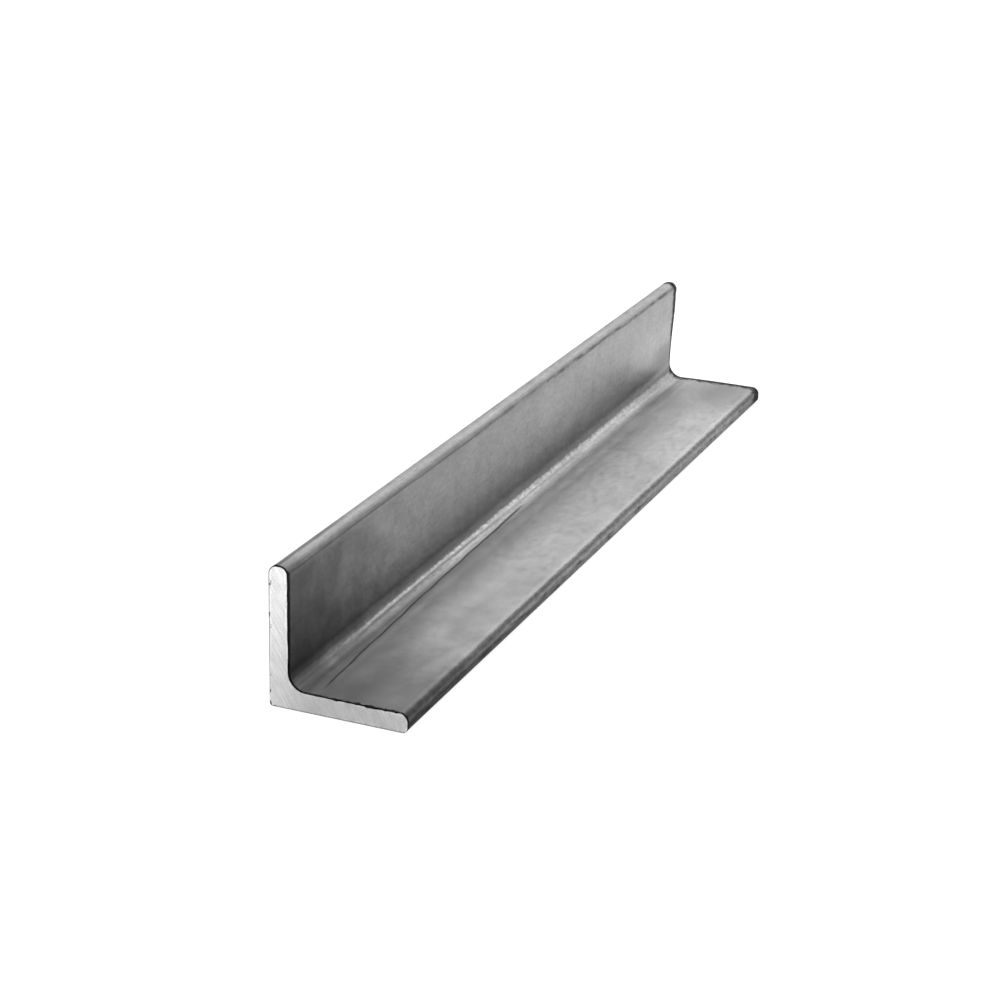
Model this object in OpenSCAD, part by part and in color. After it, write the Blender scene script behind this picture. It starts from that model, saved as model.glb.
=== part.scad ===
// A cut length of hot-rolled, equal-leg steel angle: an L section with a filleted root,
// rounded toes and a nearly sharp heel, sawn square at both ends.
// It lies on its flat leg. X runs across that leg from heel to toe, Y runs along the bar
// and Z runs up the other leg. The origin is under the middle of the bar's box.

/* [Bar] */
// Length between the two sawn ends
length = 380; // [60:5:6000]

/* [Rolled section] */
// Outside width of each leg, from the heel to the tip of the toe
leg = 50; // [30:1:150]
// Thickness of both legs
thickness = 7; // [3:0.5:16]
// Radius of the fillet in the root, the inside of the corner
root_r = 6.4; // [1:0.1:14]
// Radius of the rounded edges along both toes, apart from the one that the flat leg lies on
toe_r = 3.1; // [0.3:0.1:8]
// Radius of the edge under the flat leg's toe, which the rolls leave sharper
under_toe_r = 2.2; // [0.3:0.1:8]
// Radius that the rolls leave along the heel, the outside of the corner
heel_r = 1.2; // [0.2:0.1:5]

/* [Hidden] */

// A toe can be no rounder than a half circle across the leg.
toe_round = min(toe_r, thickness / 2);
under_toe_round = min(under_toe_r, thickness / 2);

// How far a cut reaches past the outside of the section.
overcut = 1;

$fn = 96;

// The sliver between a square corner at the origin and an arc that rounds it towards +X +Y.
module corner_sliver(r) {
    difference() {
        translate([-overcut, -overcut]) square(r + overcut);
        translate([r, r]) circle(r);
    }
}

// The open space between the legs, with the root fillet left standing in its corner.
module inside_of_angle() {
    translate([thickness, thickness]) difference() {
        square(leg);
        corner_sliver(root_r);
    }
}

// Both edges along the toe of a leg that lies along X: the outer one, below, and the inner one.
module toe_edges(outer_r, inner_r) {
    translate([leg, 0]) mirror([1, 0]) corner_sliver(outer_r);
    translate([leg, thickness]) rotate(180) corner_sliver(inner_r);
}

// The section as it leaves the rolls, with the heel at the origin and a leg along each axis.
module rolled_section() {
    difference() {
        square(leg);
        inside_of_angle();
        toe_edges(under_toe_round, toe_round);
        mirror([1, -1]) toe_edges(toe_round, toe_round);
        corner_sliver(heel_r);
    }
}

module angle_bar() {
    color("darkgray")
        translate([-leg / 2, 0, 0])
            rotate([90, 0, 0])
                linear_extrude(length, center = true)
                    rolled_section();
}

angle_bar();
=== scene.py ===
"""A short length of hot-rolled equal-leg steel angle on a white studio floor."""

import math

import bpy
import numpy as np
from mathutils import Matrix, Vector


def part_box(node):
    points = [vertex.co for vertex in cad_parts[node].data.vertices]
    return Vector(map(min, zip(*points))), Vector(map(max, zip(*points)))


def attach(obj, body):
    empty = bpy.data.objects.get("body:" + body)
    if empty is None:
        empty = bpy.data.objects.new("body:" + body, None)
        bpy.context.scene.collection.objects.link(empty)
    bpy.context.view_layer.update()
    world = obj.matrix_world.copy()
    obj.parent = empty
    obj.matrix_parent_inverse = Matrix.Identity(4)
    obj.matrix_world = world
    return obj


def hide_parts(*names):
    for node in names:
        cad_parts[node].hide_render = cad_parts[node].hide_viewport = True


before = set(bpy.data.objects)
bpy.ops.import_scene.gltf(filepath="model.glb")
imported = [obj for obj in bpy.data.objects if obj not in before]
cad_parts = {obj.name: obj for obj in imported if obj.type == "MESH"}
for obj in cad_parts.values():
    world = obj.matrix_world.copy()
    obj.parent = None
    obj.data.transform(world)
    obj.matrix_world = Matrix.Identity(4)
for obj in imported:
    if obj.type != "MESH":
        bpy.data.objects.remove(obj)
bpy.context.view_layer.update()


# The bar. One piece of mild steel, squeezed hot between shaped rolls into an L with a filleted
# root and rounded toes, then sawn to length. The rolled skin keeps a thin grey scale, and the
# two sawn ends are bare bright metal with a ragged, blackened edge where the blade broke out.
low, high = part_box("angle_bar")
leg = high.x - low.x
length = high.y - low.y
half = length / 2
thickness = 0.0070
root_r = 0.0064
toe_r = 0.0031
under_toe_r = 0.0022
heel_r = 0.0012
mm = 0.001

toe_steps = 20
corner_steps = 64
fine_steps = 30
coarse_steps = 30
leg_steps = fine_steps + coarse_steps
cross_steps = 12
middle_stations = 172
fine_share = 0.145


def quarter(centre_x, centre_z, radius, first, last, steps):
    """Arc: the centre plus the radius times the cosine and sine of an angle, even from first to last."""
    angle = np.radians(np.linspace(first, last, steps + 1))
    return np.column_stack([centre_x + radius * np.cos(angle), centre_z + radius * np.sin(angle)])


def side_of_leg(flat_toe, corner, upright_toe):
    """Path: three arcs joined by straight lines, whose points crowd at the corner's end of each line."""
    crowded = np.linspace(0, fine_share, fine_steps + 1)[:-1]
    away = np.concatenate([crowded, np.linspace(fine_share, 1, coarse_steps + 1)])[1:-1, None]
    flat_line = corner[0] + (flat_toe[-1] - corner[0]) * away[::-1]
    upright_line = corner[-1] + (upright_toe[0] - corner[-1]) * away
    return np.concatenate([flat_toe, flat_line, corner, upright_line, upright_toe])


def cloud(across, along, cell_across, cell_along, seed):
    """Smooth noise from 0 to 1: random lattice values, blended over each cell by 3t^2 - 2t^3."""
    cells = 64
    values = np.random.default_rng(seed).random((cells, cells))
    a = across / cell_across
    b = along / cell_along
    i = np.floor(a).astype(int)
    j = np.floor(b).astype(int)
    p = (a - i) ** 2 * (3 - 2 * (a - i))
    q = (b - j) ** 2 * (3 - 2 * (b - j))
    i_next = (i + 1) % cells
    j_next = (j + 1) % cells
    near = values[i % cells, j % cells] * (1 - p) + values[i_next, j % cells] * p
    far = values[i % cells, j_next] * (1 - p) + values[i_next, j_next] * p
    return near * (1 - q) + far * q


def eased(value, start, end):
    """Step from 0 at start to 1 at end, by the cubic 3t^2 - 2t^3."""
    t = np.clip((value - start) / (end - start), 0, 1)
    return t * t * (3 - 2 * t)


def ridge(distance, half_width):
    """Bell: e to the minus square of the distance over the half width."""
    return np.exp(-((distance / half_width) ** 2))


# Both paths run from the tip of the flat leg's toe to the tip of the upright leg's toe, with the
# same number of points, so that a straight line across the metal joins each point to its partner.
root_centre = thickness + root_r
outer = side_of_leg(
    quarter(leg - under_toe_r, under_toe_r, under_toe_r, 0, -90, toe_steps),
    quarter(heel_r, heel_r, heel_r, -90, -180, corner_steps),
    quarter(toe_r, leg - toe_r, toe_r, 180, 90, toe_steps),
)
inner = side_of_leg(
    quarter(leg - toe_r, thickness - toe_r, toe_r, 0, 90, toe_steps),
    quarter(root_centre, root_centre, root_r, -90, -180, corner_steps),
    quarter(thickness - toe_r, leg - toe_r, toe_r, 0, 90, toe_steps),
)
outer[:, 0] += low.x
inner[:, 0] += low.x
path_points = len(outer)
share = np.linspace(0, 1, cross_steps + 1)[:, None]
upright_tip = outer[-1] + (inner[-1] - outer[-1]) * share
flat_tip = inner[0] + (outer[0] - inner[0]) * share
ring = np.concatenate([outer, upright_tip[1:-1], inner[::-1], flat_tip[1:-1]])
ring_points = len(ring)

# Distance round the section, and the outward direction at each point of it.
ring_step = np.hypot(*(np.roll(ring, -1, axis=0) - ring).T)
around = np.concatenate([[0], np.cumsum(ring_step)])
tangent = np.roll(ring, -1, axis=0) - np.roll(ring, 1, axis=0)
tangent /= np.hypot(*tangent.T)[:, None]
outward = np.column_stack([-tangent[:, 1], tangent[:, 0]])

# Where the inner path's points stand in the ring, and their distance from the flat leg's end of the
# root fillet, which grows towards the flat leg's toe. The outer path is out of reach of it.
inner_at = np.arange(path_points + cross_steps - 1, 2 * path_points + cross_steps - 1)
root_end = inner_at[path_points - 1 - (toe_steps + leg_steps)]
on_inside = np.isin(np.arange(ring_points), inner_at)
from_root = np.where(on_inside, around[:-1] - around[root_end], 2 * leg)

# Stations along the bar: close together at the sawn ends, even between them.
end_depths = np.array([0, 0.04, 0.10, 0.18, 0.28, 0.42, 0.62, 0.90, 1.3, 2.0, 3.2]) * mm
middle = np.linspace(-half + end_depths[-1], half - end_depths[-1], middle_stations + 1)[1:-1]
stations = np.concatenate([-half + end_depths, middle, half - end_depths[::-1]])
station_count = len(stations)
across = np.broadcast_to(around[:-1], (station_count, ring_points))
along = np.broadcast_to(stations[:, None], (station_count, ring_points))
from_front = along + half
from_end = half - np.abs(along)

# The lap: a seam that the rolls folded in beside the root. It drifts towards the root and closes
# at mid length. A finer seam runs along the upright leg's toe, from end to end.
lap_length = 0.192
lap_run = np.clip(from_front / lap_length, 0, 1)
lap_drift = 0.5 * cloud(from_front, 0, 0.009, 1, 17)
from_lap = from_root - (3.35 - 9.2 * lap_run + 3.4 * lap_run**2 + lap_drift) * mm
seam_drift = 0.3 * cloud(from_front, 0, 0.013, 1, 19)
from_seam = from_root + (44.2 + seam_drift + 0.5 * eased(from_front, 0.12, 0.30)) * mm

# Relief, in metres along the outward direction: slow waves in the rolled faces, the folded lip and
# groove of the lap, the toe's seam, the beads that worn rolls left in the root and along the flat toe.
lap_open = eased(lap_run, 1.0, 0.85) * eased(from_front, 0.004, 0.016)
lap_groove = -0.08 * mm * ridge(from_lap, 0.26 * mm)
lap_lip = 0.02 * mm * eased(from_lap, -1.6 * mm, -0.35 * mm) * (from_lap < 0)
seam_groove = -0.05 * mm * ridge(from_seam, 0.25 * mm)
toe_bead = 0.012 * mm * ridge(from_root - 34.3 * mm, 0.35 * mm)
bead_drift = 0.5 * cloud(from_front, 0, 0.031, 1, 21) + eased(from_front, 0.062, 0.035)
from_bead = from_root + (5.65 - bead_drift) * mm
first_bead = 0.014 * mm * ridge(from_bead, 0.42 * mm) * eased(from_front, 0.020, 0.045)
second_bead = 0.02 * mm * ridge(from_bead - 1.9 * mm, 0.36 * mm)
second_bead *= eased(cloud(from_front, 0, 0.047, 1, 23), 0.35, 0.65)
in_root = eased(from_root, -7.4 * mm, -6.2 * mm) * eased(from_root, -1.8 * mm, -2.8 * mm)
hammered = 0.03 * mm * in_root * (cloud(across, along, 0.0011, 0.0052, 27) - 0.5)
wave = -0.05 * mm * cloud(across, along, 0.011, 0.047, 3)

# The broken edge at each sawn end: a quarter round whose radius wanders along the edge.
edge_r = (0.12 + 0.20 * cloud(across, np.sign(along), 0.0031, 1.0, 11)) * mm
edge_in = np.clip(edge_r - from_end, 0, None)
edge_break = np.sqrt(edge_r**2 - edge_in**2) - edge_r

# The burr: a thin ragged lip that the blade pushed out along the inside edge of both cuts, in
# millimetres. At the rear end it hangs on to the upper part of the upright leg.
round_ring = around[:-1] - around[root_end]
ragged = cloud(round_ring, 0, 0.0013, 1, 29)
on_flat = eased(round_ring, 2.0 * mm, 8.0 * mm) * eased(round_ring, 38.0 * mm, 34.0 * mm)
up_leg = np.clip((round_ring + 21.0 * mm) / (-28.0 * mm), 0, 1)
hangs_on = eased(round_ring, -19.0 * mm, -25.0 * mm) * eased(round_ring, -53.0 * mm, -49.0 * mm)
front_lip = 0.65 * ragged**2 * on_flat
rear_lip = (0.4 + 0.4 * ragged + 1.2 * up_leg) * hangs_on + 0.2 * ragged * on_flat

# The rear cut wanders, in millimetres along the bar: it falls short at the root, and the blade leaned
# out on its way up the upright leg.
ring_across = ring[:, 0] - low.x
ring_up = ring[:, 1]
wander = 3.6 * eased(ring_up, 12.0 * mm, 42.0 * mm) + 0.9 * eased(ring_across, 8.0 * mm, 24.0 * mm) - 1.9
cut_along = along + wander * mm * eased(along, half - 0.03, half)

relief = wave + lap_open * (lap_groove + lap_lip) + seam_groove + toe_bead
relief += first_bead + second_bead + hammered
relief *= eased(from_end, 0, 2.0 * mm)
relief += edge_break

bar_points = np.empty((station_count, ring_points, 3))
bar_points[:, :, 0] = ring[:, 0] + outward[:, 0] * relief
bar_points[:, :, 1] = cut_along
bar_points[:, :, 2] = ring[:, 1] + outward[:, 1] * relief
bar_points[0, :, 1] -= front_lip * mm
bar_points[-1, :, 1] += rear_lip * mm

# Sawn faces: straight lines across the metal from the outer path to the inner one, at each end.
point_ids = np.arange(station_count * ring_points).reshape(station_count, ring_points)
cap_inside = (path_points - 2) * (cross_steps - 1)


def sawn_face(station, first_new_id):
    """Grid: each outer point moved by even shares to its inner partner. Its border is the ring there."""
    border = bar_points[station]
    start = border[:path_points]
    end = border[inner_at[::-1]]
    grid = start[:, None] + (end - start)[:, None] * share
    cut_start = cut_along[station, :path_points, None]
    cut_end = cut_along[station, inner_at[::-1], None]
    grid[:, :, 1] = cut_start + (cut_end - cut_start) * share[:, 0]
    ids = np.empty((path_points, cross_steps + 1), int)
    ids[1:-1, 1:-1] = first_new_id + np.arange(cap_inside).reshape(path_points - 2, cross_steps - 1)
    ring_ids = point_ids[station]
    ids[:, 0] = ring_ids[:path_points]
    ids[:, -1] = ring_ids[inner_at[::-1]]
    ids[-1, 1:-1] = ring_ids[path_points : path_points + cross_steps - 1]
    ids[0, 1:-1] = ring_ids[inner_at[-1] + 1 :][::-1]
    rim = np.minimum(share, 1 - share)[:, 0] * np.linalg.norm(end - start, axis=1)[:, None]
    return grid[1:-1, 1:-1].reshape(-1, 3), ids, rim[1:-1, 1:-1].ravel()


def quads(ids):
    """Faces of a grid of point numbers: each cell's four corners in turn."""
    return np.stack([ids[:-1, :-1], ids[:-1, 1:], ids[1:, 1:], ids[1:, :-1]], axis=-1).reshape(-1, 4)


front_inside, front_ids, front_rim = sawn_face(0, point_ids.size)
rear_inside, rear_ids, rear_rim = sawn_face(station_count - 1, point_ids.size + cap_inside)
points = np.concatenate([bar_points.reshape(-1, 3), front_inside, rear_inside])
skin_quads = quads(np.column_stack([point_ids, point_ids[:, 0]]))
sawn_quads = np.concatenate([quads(front_ids), quads(rear_ids)[:, ::-1]])
faces = np.concatenate([skin_quads, sawn_quads])

bar_mesh = bpy.data.meshes.new("angle_bar_rolled")
bar_mesh.from_pydata(points.tolist(), [], faces.tolist())
is_sawn = np.arange(len(faces)) >= len(skin_quads)
bar_mesh.polygons.foreach_set("use_smooth", ~is_sawn)
bar_mesh.polygons.foreach_set("material_index", is_sawn.astype(np.int32))

# The unrolled map: on the skin, the distance round the section and along the bar, with its cut on the
# underside. On the sawn faces, the place across and up the section. All in metres.
map_cut = toe_steps + coarse_steps
past_cut = around[-1] * (np.arange(ring_points) < map_cut)
left = np.broadcast_to(around[:-1] + past_cut, (station_count - 1, ring_points))
right = np.broadcast_to(around[1:] + past_cut, (station_count - 1, ring_points))
before = np.broadcast_to(stations[:-1, None], left.shape)
after = np.broadcast_to(stations[1:, None], left.shape)
skin_map = np.stack([left, before, right, before, right, after, left, after], axis=-1)
unrolled = np.concatenate([skin_map.ravel(), points[sawn_quads][:, :, [0, 2]].ravel()])
bar_mesh.uv_layers.new(name="unrolled").data.foreach_set("uv", unrolled.astype(np.float32))

# Distances that the finishes need at each point: from the lap, from the toe's seam, from the root's
# bead, and on the sawn faces from the rim.
on_skin = np.zeros(point_ids.size)
off_skin = np.full(2 * cap_inside, 2 * leg)
distances = {
    "from_lap": np.concatenate([from_lap.ravel(), off_skin]),
    "from_seam": np.concatenate([from_seam.ravel(), off_skin]),
    "from_bead": np.concatenate([from_bead.ravel(), off_skin]),
    "from_rim": np.concatenate([on_skin, front_rim, rear_rim]),
}
for distance_name, distance_values in distances.items():
    distance = bar_mesh.attributes.new(distance_name, "FLOAT", "POINT")
    distance.data.foreach_set("value", distance_values.astype(np.float32))

bar_mesh.set_sharp_from_angle(angle=math.radians(40))
bar_mesh.validate()
bar = bpy.data.objects.new("angle_bar_rolled", bar_mesh)
bpy.context.scene.collection.objects.link(bar)


# The bar's finishes. Places are in millimetres: on the skin, across from the flat leg's end of the
# root and along from the front end; on the sawn faces, across and up the section.
def add(tree, kind, inputs, **settings):
    """Adds a node, sets it, and fills its inputs by place or name: sockets are linked, numbers set."""
    made = tree.nodes.new(kind)
    for name, value in settings.items():
        setattr(made, name, value)
    named = inputs.items() if isinstance(inputs, dict) else enumerate(inputs)
    for name, value in named:
        if isinstance(value, bpy.types.NodeSocket):
            tree.links.new(value, made.inputs[name])
        else:
            made.inputs[name].default_value = value
    return made


def worked(tree, operation, *values):
    """One sum: the operation on the values."""
    return add(tree, "ShaderNodeMath", values, operation=operation).outputs[0]


def ramp(tree, value, start, end, first=0.0, last=1.0):
    """Eased step: first where the value is at start, last where it is at end."""
    names = {"Value": value, "From Min": start, "From Max": end, "To Min": first, "To Max": last}
    return add(tree, "ShaderNodeMapRange", names, interpolation_type="SMOOTHSTEP").outputs[0]


def band(tree, value, start, end, soft):
    """Mask: 1 from start to end, falling to 0 over a soft width on both sides."""
    rise = ramp(tree, value, start - soft, start)
    return worked(tree, "MULTIPLY", rise, ramp(tree, value, end + soft, end))


def product(tree, first, *others):
    """The values multiplied together."""
    total = first
    for other in others:
        total = worked(tree, "MULTIPLY", total, other)
    return total


def lifted(tree, mask, amount, base=1.0):
    """The base plus the amount times the mask."""
    return worked(tree, "MULTIPLY_ADD", mask, amount, base)


def grain_group():
    """Noise of a size in millimetres, drawn out along the second axis, and spread over 0 to 1."""
    tree = bpy.data.node_groups.new("steel_grain", "ShaderNodeTree")
    tree.interface.new_socket("Place", in_out="INPUT", socket_type="NodeSocketVector")
    tree.interface.new_socket("Size", in_out="INPUT", socket_type="NodeSocketFloat")
    tree.interface.new_socket("Stretch", in_out="INPUT", socket_type="NodeSocketFloat")
    tree.interface.new_socket("Seed", in_out="INPUT", socket_type="NodeSocketFloat")
    tree.interface.new_socket("Grain", in_out="OUTPUT", socket_type="NodeSocketFloat")
    given = tree.nodes.new("NodeGroupInput").outputs
    place = add(tree, "ShaderNodeSeparateXYZ", [given["Place"]]).outputs
    x = worked(tree, "DIVIDE", place[0], given["Size"])
    y = worked(tree, "DIVIDE", place[1], worked(tree, "MULTIPLY", given["Size"], given["Stretch"]))
    drawn_out = add(tree, "ShaderNodeCombineXYZ", [x, y, given["Seed"]]).outputs[0]
    fine = {"Vector": drawn_out, "Scale": 1.0, "Detail": 3.0, "Roughness": 0.55}
    noise = add(tree, "ShaderNodeTexNoise", fine)
    spread = add(tree, "ShaderNodeMapRange", [noise.outputs[0], 0.25, 0.75])
    tree.links.new(spread.outputs[0], tree.nodes.new("NodeGroupOutput").inputs["Grain"])
    return tree


steel_grain = grain_group()


def grain(tree, place, size, stretch, seed):
    """Places the grain group with its own values."""
    made = add(tree, "ShaderNodeGroup", [], node_tree=steel_grain)
    tree.links.new(place, made.inputs["Place"])
    made.inputs["Size"].default_value = size
    made.inputs["Stretch"].default_value = stretch
    made.inputs["Seed"].default_value = seed
    return made.outputs["Grain"]


def measured(tree, name):
    """A distance stored on the mesh, in millimetres."""
    stored = add(tree, "ShaderNodeAttribute", [], attribute_name=name).outputs["Fac"]
    return worked(tree, "DIVIDE", stored, mm)


def steel(name):
    """A metal with one Principled shader, and the map's place in metres."""
    made = bpy.data.materials.new(name)
    made.use_nodes = True
    shader = made.node_tree.nodes["Principled BSDF"]
    shader.inputs["Metallic"].default_value = 1.0
    place = add(made.node_tree, "ShaderNodeUVMap", [], uv_map="unrolled").outputs[0]
    return made, made.node_tree, shader, place


def finished(tree, shader, colour, tone, roughness, height):
    """Links the colour times the tone, the roughness, and a bump whose height is in millimetres."""
    painted = add(tree, "ShaderNodeVectorMath", {0: colour, "Scale": tone}, operation="SCALE").outputs[0]
    tree.links.new(painted, shader.inputs["Base Color"])
    tree.links.new(roughness, shader.inputs["Roughness"])
    bump = add(tree, "ShaderNodeBump", {"Strength": 1.0, "Distance": mm, "Height": height})
    tree.links.new(bump.outputs[0], shader.inputs["Normal"])


# Rolled skin: grey scale, cloudy and finely streaked along the bar, with rubbed lines and painted
# highlights in the root, dark in bands along the toes, with painted shade inside the front end and broad
# patches of painted light and shade, and blackened at the cut edges.
rolled_skin, skin, skin_shader, skin_map_place = steel("rolled_skin")
from_root_and_front = {
    "Vector": skin_map_place,
    "Location": (-around[root_end] / mm, half / mm, 0),
    "Scale": (1 / mm, 1 / mm, 1),
}
skin_place = add(skin, "ShaderNodeMapping", from_root_and_front).outputs[0]
x, y = add(skin, "ShaderNodeSeparateXYZ", [skin_place]).outputs[:2]
clouds = grain(skin, skin_place, 13.0, 1.2, 1.0)
mottle = grain(skin, skin_place, 2.4, 2.2, 2.0)
streaks = grain(skin, skin_place, 0.8, 45.0, 3.0)
grit = grain(skin, skin_place, 1.3, 2.0, 4.0)
patches = grain(skin, skin_place, 1.6, 7.0, 5.0)
ticks = grain(skin, skin_place, 1.2, 2.6, 6.0)
threads = grain(skin, skin_place, 0.75, 28.0, 7.0)
stretches = grain(skin, skin_place, 24.0, 1.5, 9.0)
roll_lines = grain(skin, skin_place, 1.7, 60.0, 10.0)
scuffs = grain(skin, skin_place, 0.6, 90.0, 11.0)
toe_blocks = grain(skin, skin_place, 1.9, 1.7, 12.0)
crown_streaks = grain(skin, skin_place, 0.55, 70.0, 13.0)

# The flat leg came out of the rolls smoother than the upright.
smoother = ramp(skin, x, -10.0, 0.0, 1.0, 0.60)
mottle_depth = ramp(skin, y, 90.0, 190.0, 0.24, 0.32)
grit_depth = ramp(skin, x, -10.0, 0.0, 0.25, 0.09)
mottling = product(skin, lifted(skin, mottle, 1.0, -0.5), mottle_depth, smoother)
scale_tone = lifted(skin, clouds, 0.22, 0.88)
scale_tone = worked(skin, "ADD", scale_tone, lifted(skin, streaks, 0.04, 0.0))
scale_tone = worked(skin, "ADD", scale_tone, product(skin, lifted(skin, grit, 1.0, -0.5), grit_depth))
scale_tone = worked(skin, "ADD", scale_tone, mottling)

inside = band(skin, x, -51.0, 42.0, 2.0)
outside = lifted(skin, inside, -1.0)
outside_lines = product(skin, outside, lifted(skin, roll_lines, 1.0, -0.5))
outside_scuffs = product(skin, outside, ramp(skin, scuffs, 0.72, 0.92), ramp(skin, stretches, 0.4, 0.7))

wandering_y = lifted(skin, clouds, 30.0, -15.0)
wandering_y = worked(skin, "ADD", wandering_y, y)
# Painted shade: the inside faces are darkened towards the front end, less so beside the root and not on
# the upright's toe.
front_shade_reach = ramp(skin, wandering_y, 4.0, 100.0)
front_shade_reach = lifted(skin, front_shade_reach, -1.0)
front_shade_on_upright = ramp(skin, x, -48.0, -41.0, 0.0, 0.70)
front_shade_by_root = lifted(skin, product(skin, ramp(skin, x, -2.5, 0.5), ramp(skin, x, 16.0, 2.0)), -0.85)
front_shade_on_flat = ramp(skin, x, 8.0, 20.0, 1.0, 0.94)
front_end_shade = product(skin, front_shade_reach, front_shade_on_upright, front_shade_by_root, front_shade_on_flat)
# Painted light and shade in broad patches: lighter on the middle of the upright leg, at the far end of
# the upright and on the flat's outer half short of the far end; darker on the flat at the far end, in
# the far crook and on the flat's outer half near the front.
upright_painted_light = product(skin, band(skin, x, -40.0, -20.0, 6.0), ramp(skin, y, 70.0, 230.0, 0.4, 1.0))
upright_painted_light = product(skin, upright_painted_light, ramp(skin, y, 250.0, 320.0, 1.0, 0.45))
far_upright = product(skin, band(skin, x, -27.0, -18.0, 5.0), ramp(skin, y, 290.0, 325.0))
below_seam = product(skin, ramp(skin, x, -44.6, -43.4), ramp(skin, x, -28.0, -42.0))
below_seam = product(skin, below_seam, ramp(skin, y, 170.0, 270.0, 1.0, 0.4))
bright_flat = product(skin, band(skin, x, 22.0, 34.0, 8.0), band(skin, y, 275.0, 325.0, 20.0))
far_flat = product(skin, ramp(skin, x, 8.0, 22.0), ramp(skin, y, 335.0, 365.0))
far_crook = product(skin, band(skin, x, -19.0, -12.0, 4.0), ramp(skin, y, 345.0, 368.0))
flat_painted_shade = product(skin, band(skin, x, 24.0, 36.0, 6.0), band(skin, y, 75.0, 115.0, 25.0))

wandering_x = lifted(skin, patches, 0.4, -0.2)
wandering_x = worked(skin, "ADD", wandering_x, x)
toe_patches = lifted(skin, patches, 0.6, 0.4)
toe_fades = ramp(skin, y, 60.0, 210.0, 1.0, 0.52)
upper_band = product(skin, band(skin, wandering_x, 35.3, 36.1, 0.5), toe_patches)
upper_band = product(skin, upper_band, ramp(skin, y, 40.0, 90.0, 0.5, 1.0))
# The lower band is partly dark scale and partly painted shade on the toe's underside, deepest towards
# the front end.
lower_band = product(skin, band(skin, wandering_x, 39.0, 44.0, 2.0), toe_fades)
lower_band = product(skin, lower_band, lifted(skin, patches, 0.3, 0.7))
nose_band = band(skin, wandering_x, 35.0, 44.0, 0.4)
toe_mottle = product(skin, nose_band, lifted(skin, toe_blocks, 1.0, -0.5))
toe_spots = product(skin, band(skin, x, 38.2, 41.5, 0.8), ramp(skin, patches, 0.54, 0.80))
dark_toe = product(skin, band(skin, wandering_x, 36.7, 38.6, 0.5), ramp(skin, y, 100.0, 50.0))
# Painted shade: a thin darker line where the flat toe's top turns over, to dim its highlight.
toe_edge_shade = band(skin, x, 34.0, 34.6, 0.25)
# Painted light and shade on the upright's toe: painted light where it rounds down to the inside face,
# painted shade over its top to dim the lamp's highlight, and a painted highlight on its crown.
upright_toe_band = band(skin, wandering_x, -46.8, -45.3, 0.4)
upright_toe_band = product(skin, upright_toe_band, ramp(skin, y, 150.0, 200.0, 1.0, 0.5))
upright_toe_top = band(skin, x, -49.4, -46.6, 1.0)
upright_crown_highlight = band(skin, x, -53.0, -50.6, 1.0)
drawn_crown = product(skin, band(skin, x, -53.0, -45.0, 1.0), lifted(skin, crown_streaks, 1.0, -0.5))
toe_corner = product(skin, band(skin, x, -49.8, -49.0, 0.7), ramp(skin, y, 60.0, 30.0))
dark_crown = product(skin, band(skin, x, -49.4, -44.0, 1.0), ramp(skin, y, 16.0, 4.0))

off_seam = worked(skin, "ABSOLUTE", measured(skin, "from_seam"))
off_seam = worked(skin, "DIVIDE", off_seam, ramp(skin, y, 150.0, 230.0, 1.0, 1.5))
seam_breaks = ramp(skin, patches, 0.42, 0.66)
seam_breaks = worked(skin, "MAXIMUM", seam_breaks, ramp(skin, y, 240.0, 140.0, 0.0, 0.90))
seam = product(skin, ramp(skin, off_seam, 0.75, 0.20), seam_breaks)
seam = product(skin, seam, ramp(skin, y, 150.0, 230.0, 1.0, 0.78))
off_lap = measured(skin, "from_lap")
lap_closes = ramp(skin, y, 194.0, 182.0)
lap = ramp(skin, worked(skin, "ABSOLUTE", off_lap), 0.62, 0.22)
lap = product(skin, lap, lap_closes, ramp(skin, y, 3.0, 14.0))
lap_shoulder = product(skin, band(skin, off_lap, 0.3, 1.2, 1.2), lap_closes)

root_x = lifted(skin, ticks, 0.9, -0.45)
root_x = worked(skin, "ADD", root_x, x)
root_wear_and_shine = ramp(skin, wandering_y, 10.0, 60.0)
rubbed_root = product(skin, band(skin, root_x, -6.6, -2.6, 0.4), root_wear_and_shine)
# Painted highlights: the bead's lines are lighter in colour where the lamps' highlight shows along the
# fillet. The bead itself is real relief, and the rubbed threads and ticks are real grain.
off_bead = worked(skin, "ADD", measured(skin, "from_bead"), lifted(skin, ticks, 0.4, -0.2))
bead_highlight_reach = product(skin, ramp(skin, y, 24.0, 60.0, 0.20, 1.0), ramp(skin, y, 260.0, 170.0, 0.70, 1.0))
bead_highlight_reach = product(skin, bead_highlight_reach, ramp(skin, y, 270.0, 372.0, 1.0, 0.3))
bead_width = product(skin, ramp(skin, y, 110.0, 220.0, 1.0, 1.75), ramp(skin, y, 35.0, 60.0, 1.8, 1.0))
off_first = worked(skin, "DIVIDE", worked(skin, "ABSOLUTE", off_bead), bead_width)
first_bead_highlight = product(skin, ramp(skin, off_first, 0.90, 0.20), bead_highlight_reach, lifted(skin, ticks, 0.5, 0.75))
off_second = worked(skin, "ABSOLUTE", worked(skin, "SUBTRACT", off_bead, 1.9))
second_bead_highlight = product(skin, ramp(skin, off_second, 0.5, 0.2), root_wear_and_shine)
second_bead_highlight = product(skin, second_bead_highlight, ramp(skin, stretches, 0.45, 0.65))
root_threads = product(skin, rubbed_root, lifted(skin, threads, 1.0, -0.5))
root_ticks = product(skin, rubbed_root, lifted(skin, ticks, 1.0, -0.5))
root_shade = band(skin, x, -11.0, -7.4, 2.0)
# Painted light: the flat leg's foot beside the root is lightened, against the upright's dark reflection
# there.
root_foot_light = band(skin, x, 0.5, 3.0, 3.0)
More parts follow.
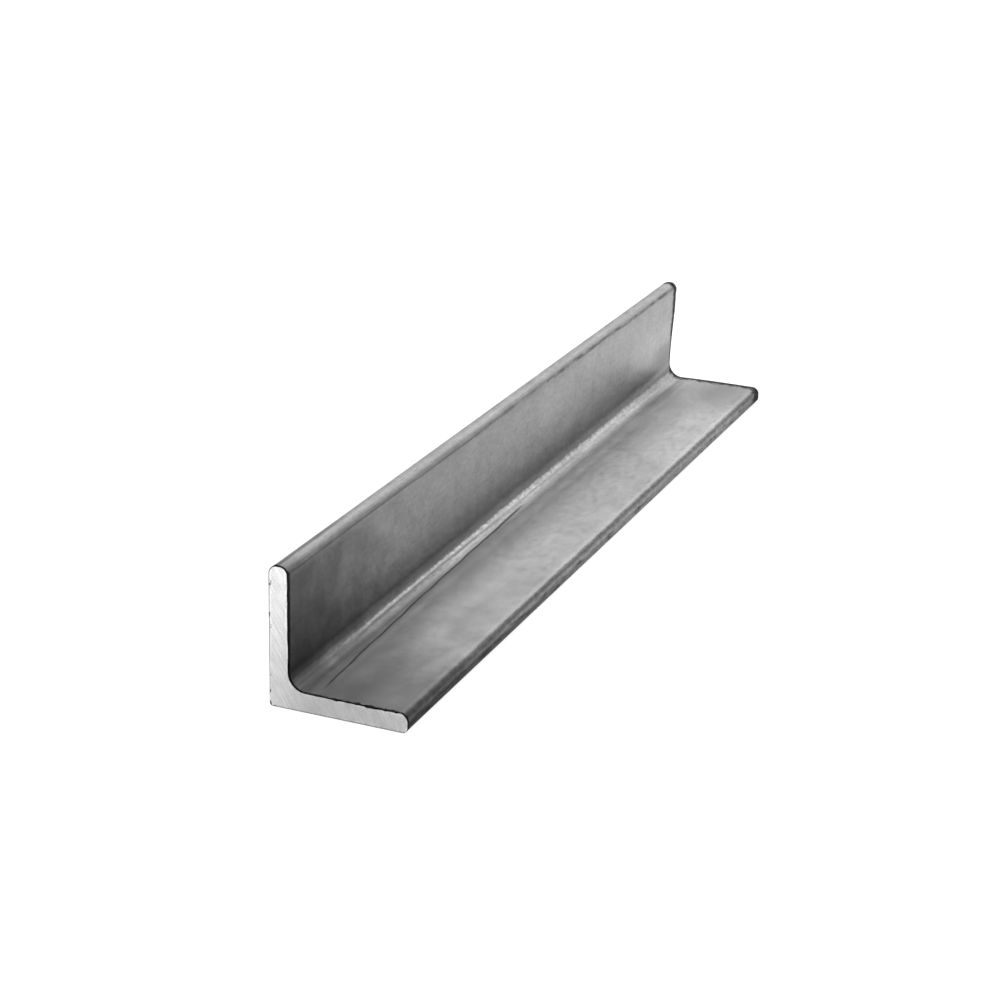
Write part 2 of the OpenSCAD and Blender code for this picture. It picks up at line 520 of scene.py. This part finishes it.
# Painted shade: the root's lower side is darkened near the front end to dim the lamp's highlight there.
root_painted_shade = product(skin, band(skin, x, -4.2, -1.0, 1.0), band(skin, y, 10.0, 100.0, 20.0))
near_shade = product(skin, band(skin, x, -9.6, -7.4, 1.3), ramp(skin, y, 190.0, 110.0))
# Painted highlight: a broad bright hatch across the root near the front end.
near_root_highlight = product(skin, band(skin, root_x, -6.6, -4.6, 0.4), ramp(skin, y, 60.0, 30.0))
# Painted shade: the root and the flat's foot darker towards the far end.
far_root = product(skin, band(skin, x, -4.0, 3.0, 2.0), ramp(skin, y, 310.0, 345.0))

from_cut = worked(skin, "MINIMUM", y, worked(skin, "SUBTRACT", length / mm, y))
edge_grain = grain(skin, skin_place, 1.8, 1.4, 8.0)
at_rear = ramp(skin, y, 300.0, 340.0)
edge_depth = ramp(skin, x, -4.0, -16.0, 0.3, 2.0)
edge_wander = product(skin, edge_grain, ramp(skin, x, -4.0, -16.0, 1.8, 0.4))
front_toe = product(skin, band(skin, x, -49.0, -45.5, 1.5), lifted(skin, at_rear, -1.0))
rear_flat = product(skin, ramp(skin, x, -10.0, -3.0), at_rear)
rear_upright = product(skin, ramp(skin, x, -19.0, -24.0), at_rear, lifted(skin, edge_grain, 1.9, 1.0))
rear_toe = lifted(skin, ramp(skin, x, 37.0, 38.2), 5.0, 3.2)
rear_toe = product(skin, rear_toe, ramp(skin, x, 32.0, 35.0), at_rear)
cut_depth = product(skin, worked(skin, "ADD", edge_depth, edge_wander), lifted(skin, rear_flat, 3.0))
cut_depth = product(skin, cut_depth, lifted(skin, front_toe, -0.5))
cut_depth = worked(skin, "ADD", cut_depth, worked(skin, "ADD", rear_upright, rear_toe))
cut_depth = product(skin, cut_depth, lifted(skin, band(skin, x, -54.0, 42.0, 1.5), 0.75, 0.25))
cut_sharp = ramp(skin, y, 100.0, 300.0, 0.55, 0.40)
cut_edge = ramp(skin, worked(skin, "DIVIDE", from_cut, cut_depth), 1.0, cut_sharp)
cut_edge = product(skin, cut_edge, lifted(skin, grit, 0.20, 0.90))

skin_tone = product(
    skin,
    scale_tone,
    lifted(skin, outside_lines, 0.22),
    lifted(skin, outside_scuffs, 0.30),
    lifted(skin, front_end_shade, -1.0),
    lifted(skin, upper_band, -0.41),
    lifted(skin, lower_band, -0.93),
    lifted(skin, nose_band, -0.12),
    lifted(skin, toe_mottle, 0.75),
    lifted(skin, toe_spots, -0.70),
    lifted(skin, dark_toe, -0.32),
    lifted(skin, toe_edge_shade, -0.16),
    lifted(skin, upright_toe_band, 0.16),
    lifted(skin, upright_toe_top, -0.13),
    lifted(skin, upright_crown_highlight, 0.70),
    lifted(skin, drawn_crown, 0.30),
    lifted(skin, toe_corner, -0.45),
    lifted(skin, dark_crown, -0.30),
    lifted(skin, upright_painted_light, 0.32),
    lifted(skin, far_upright, 0.08),
    lifted(skin, below_seam, -0.18),
    lifted(skin, bright_flat, 0.16),
    lifted(skin, flat_painted_shade, -0.14),
    lifted(skin, far_flat, -0.30),
    lifted(skin, far_crook, -0.30),
    lifted(skin, seam, -0.56),
    lifted(skin, lap, -0.78),
    lifted(skin, lap_shoulder, -0.06),
    lifted(skin, first_bead_highlight, 1.40),
    lifted(skin, second_bead_highlight, 0.35),
    lifted(skin, root_threads, 0.25),
    lifted(skin, root_ticks, 0.55),
    lifted(skin, far_root, -0.32),
    lifted(skin, root_shade, -0.10),
    lifted(skin, root_foot_light, 0.40),
    lifted(skin, root_painted_shade, -0.26),
    lifted(skin, near_shade, -0.30),
    lifted(skin, near_root_highlight, 0.40),
    lifted(skin, cut_edge, -0.92),
)
skin_roughness = lifted(skin, mottle, 0.10, 0.37)
skin_roughness = worked(skin, "ADD", skin_roughness, lifted(skin, upright_toe_top, 0.12, 0.0))
skin_roughness = worked(skin, "ADD", skin_roughness, lifted(skin, cut_edge, 0.25, 0.0))
skin.links.new(ramp(skin, lower_band, 0.0, 0.75, 1.0, 0.0), skin_shader.inputs["Metallic"])
skin_shader.inputs["Specular IOR Level"].default_value = 0.04
skin_height = product(skin, lifted(skin, mottle, 0.014, 0.0), smoother)
skin_height = worked(skin, "ADD", skin_height, lifted(skin, grit, 0.004, 0.0))
skin_height = worked(skin, "ADD", skin_height, lifted(skin, streaks, 0.004, 0.0))
skin_height = worked(skin, "ADD", skin_height, lifted(skin, root_ticks, 0.020, 0.0))
scale_grey = (0.31, 0.31, 0.31)
finished(skin, skin_shader, scale_grey, skin_tone, skin_roughness, skin_height)
bar_mesh.materials.append(rolled_skin)

# Sawn end: bare metal with the blade's slanting marks, painted lighter towards the top of the upright
# leg, a thin bright rim, and small dark chips along the rim.
sawn_end, sawn, sawn_shader, sawn_map_place = steel("sawn_end")
saw_slope = math.radians(-32)
in_millimetres = {"Vector": sawn_map_place, "Scale": (1 / mm, 1 / mm, 1)}
sawn_place = add(sawn, "ShaderNodeMapping", in_millimetres).outputs[0]
along_blade = {"Vector": sawn_place, "Rotation": (0, 0, saw_slope)}
blade_place = add(sawn, "ShaderNodeMapping", along_blade).outputs[0]
across_face, up_face = add(sawn, "ShaderNodeSeparateXYZ", [sawn_place]).outputs[:2]
face_clouds = grain(sawn, sawn_place, 5.0, 1.0, 11.0)
blade_marks = grain(sawn, blade_place, 0.55, 14.0, 12.0)
blade_waves = grain(sawn, blade_place, 1.6, 14.0, 13.0)
chips = grain(sawn, sawn_place, 1.5, 2.8, 17.0)
speckle = grain(sawn, sawn_place, 0.5, 1.0, 15.0)
rim = measured(sawn, "from_rim")
bright_rim = ramp(sawn, rim, 1.1, 0.5)
on_heel_side = ramp(sawn, across_face, low.x / mm + 4.0, low.x / mm + 2.0, 0.25, 1.0)
chipped = product(sawn, ramp(sawn, rim, 1.10, 0.50), ramp(sawn, chips, 0.54, 0.66), on_heel_side)
edge_line = product(sawn, ramp(sawn, rim, 0.45, 0.15), on_heel_side)
worn_foot = ramp(sawn, up_face, 0.9, 0.2)
by_heel = ramp(sawn, across_face, low.x / mm + 16.0, low.x / mm + 3.0, 1.0, 1.26)
by_toe = ramp(sawn, across_face, low.x / mm + 42.0, low.x / mm + 47.0, 1.0, 1.08)
# Painted light: the face is lighter towards the top of the upright leg, as if lit from above.
sawn_tone = ramp(sawn, up_face, 4.0, 48.0, 0.47, 0.66)
bar_place = add(sawn, "ShaderNodeTexCoord", []).outputs["Object"]
along_bar = add(sawn, "ShaderNodeSeparateXYZ", [bar_place]).outputs[1]
rear_tone = ramp(sawn, along_bar, -half, half, 1.0, 0.6)
sawn_tone = product(
    sawn,
    sawn_tone,
    lifted(sawn, face_clouds, 0.16, 0.91),
    lifted(sawn, blade_marks, 0.34, 0.83),
    lifted(sawn, blade_waves, 0.14, 0.93),
    lifted(sawn, speckle, 0.24, 0.88),
    by_heel,
    by_toe,
    lifted(sawn, bright_rim, 0.20),
    lifted(sawn, edge_line, -0.40),
    rear_tone,
    lifted(sawn, chipped, -0.85),
    lifted(sawn, worn_foot, -0.40),
)
sawn_roughness = lifted(sawn, blade_marks, 0.14, 0.43)
sawn_height = lifted(sawn, blade_marks, 0.006, 0.0)
sawn_height = worked(sawn, "ADD", sawn_height, lifted(sawn, blade_waves, 0.010, 0.0))
bare_metal = (1.0, 1.0, 1.0)
finished(sawn, sawn_shader, bare_metal, sawn_tone, sawn_roughness, sawn_height)
bar_mesh.materials.append(sawn_end)

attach(bar, "root")
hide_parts("angle_bar")


# The floor. A plain pale studio table, lit softly from under its white top, that runs far past the
# frame on every side.
floor_reach = 20.0
floor_gap = 0.0002
corners = floor_reach * np.array([[-1, -1], [1, -1], [1, 1], [-1, 1]])
floor_mesh = bpy.data.meshes.new("floor")
floor_mesh.from_pydata(np.column_stack([corners, np.full(4, -floor_gap)]).tolist(), [], [(0, 1, 2, 3)])
floor = bpy.data.objects.new("floor", floor_mesh)
bpy.context.scene.collection.objects.link(floor)
floor_paint = bpy.data.materials.new("pale_floor")
floor_paint.use_nodes = True
floor_shader = floor_paint.node_tree.nodes["Principled BSDF"]
floor_shader.inputs["Base Color"].default_value = (0.3, 0.3, 0.3, 1)
floor_shader.inputs["Roughness"].default_value = 0.9
floor_shader.inputs["Specular IOR Level"].default_value = 0.0
floor_shader.inputs["Emission Color"].default_value = (1, 1, 1, 1)
floor_shader.inputs["Emission Strength"].default_value = 0.9
floor_mesh.materials.append(floor_paint)


# The lights. Soft boxes round the table in a pale room: two high ones on the left and behind, one in
# front for the sawn face, a low one behind that the root mirrors, and two small ones, above the far
# end and low on the right. The room looks whiter to the camera than it shines on the bar.
light_aim = (0, 0, 0.02)


def soft_box(name, place, size, power):
    """A square lamp at a place, turned so that it shines at the bar."""
    lamp = bpy.data.lights.new(name, "AREA")
    lamp.shape = "SQUARE"
    lamp.size = size
    lamp.energy = power
    held = bpy.data.objects.new(name, lamp)
    held.location = place
    held.rotation_mode = "QUATERNION"
    held.rotation_quaternion = (Vector(light_aim) - Vector(place)).to_track_quat("-Z", "Y")
    held.visible_camera = False
    bpy.context.scene.collection.objects.link(held)


soft_box("left_high", (-0.92, 0.0, 1.20), 0.6, 2.0)
soft_box("rear_high", (-0.46, 0.80, 1.20), 0.6, 7.7)
soft_box("front_left", (-0.65, -1.12, 0.77), 0.6, 5.0)
soft_box("rear_low", (0.0, 1.47, 0.33), 0.6, 3.8)
soft_box("over_far_end", (0.0, 0.39, 0.41), 0.25, 0.54)
soft_box("right_low", (0.52, 0.0, 0.21), 0.25, 0.50)

room = bpy.data.worlds.new("room")
room.use_nodes = True
room_air = room.node_tree
backdrop = room_air.nodes["Background"]
backdrop.inputs["Color"].default_value = (1, 1, 1, 1)
seen = add(room_air, "ShaderNodeLightPath", []).outputs["Is Camera Ray"]
room_air.links.new(ramp(room_air, seen, 0.0, 1.0, 0.42, 1.0), backdrop.inputs["Strength"])
bpy.context.scene.world = room
bpy.context.scene.view_settings.view_transform = "Standard"


# The camera. A long lens in front of the bar, to its right and above it, turned a little on its
# axis. Places are in metres and angles in degrees.
camera_place = (0.3182, -0.8281, 0.3452)
camera_azimuth = 22.41
camera_elevation = 20.62
camera_roll = 1.38
sensor_width = 36.0
picture_width = 1000
focal_length_pixels = 2424

azimuth = math.radians(camera_azimuth)
elevation = math.radians(camera_elevation)
level = math.cos(elevation)
back = Vector((math.sin(azimuth) * level, -math.cos(azimuth) * level, math.sin(elevation)))
level_turn = back.to_track_quat("Z", "Y").to_matrix()
camera_data = bpy.data.cameras.new("camera")
camera_data.sensor_width = sensor_width
camera_data.lens = sensor_width * focal_length_pixels / picture_width
camera = bpy.data.objects.new("camera", camera_data)
turn = (level_turn @ Matrix.Rotation(math.radians(camera_roll), 3, "Z")).to_4x4()
camera.matrix_world = Matrix.Translation(camera_place) @ turn
bpy.context.scene.collection.objects.link(camera)
bpy.context.scene.camera = camera
